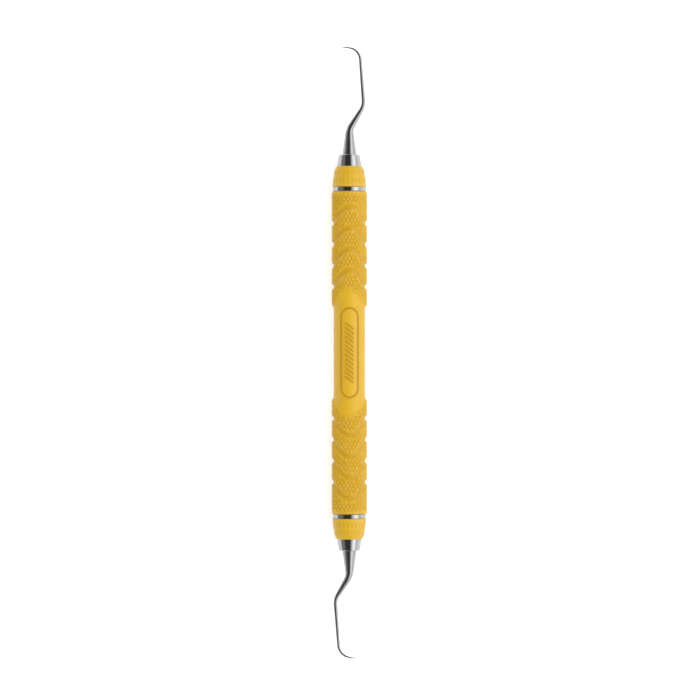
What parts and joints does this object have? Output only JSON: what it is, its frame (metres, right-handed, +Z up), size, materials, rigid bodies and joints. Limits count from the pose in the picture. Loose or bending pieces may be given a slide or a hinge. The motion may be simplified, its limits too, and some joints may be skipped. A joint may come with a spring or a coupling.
{
  "type": "dental explorer",
  "caption": "Double-ended dental explorer: long bent shanks with fine points, seated in steel collars at each end of a wavy, diamond-knurled resin grip on a hollow steel core.",
  "frame": {"origin": "on the surface that the instrument lies on, below the middle of its handle", "axes": "+X along the handle towards the upper working end, +Z up out of the surface, with the label panel facing up"},
  "size_m": [0.1652, 0.0095, 0.0095],
  "materials": {
    "core_steel": "drawn tube",
    "grip_resin": "moulded satin",
    "polished_steel": "polished, finely turned",
    "silicone": "moulded",
    "instrument_steel": "polished, drawn lengthwise"
  },
  "bodies": {
    "root": {"core_tube": "core_steel", "grip_sleeve": "grip_resin", "upper_band_ring": "polished_steel", "lower_band_ring": "polished_steel", "upper_end_cone": "grip_resin", "lower_end_cone": "grip_resin", "upper_seal_ring": "silicone", "lower_seal_ring": "silicone", "upper_collar": "polished_steel", "lower_collar": "polished_steel", "upper_working_end": "instrument_steel", "lower_working_end": "instrument_steel"}
  },
  "joints": []
}
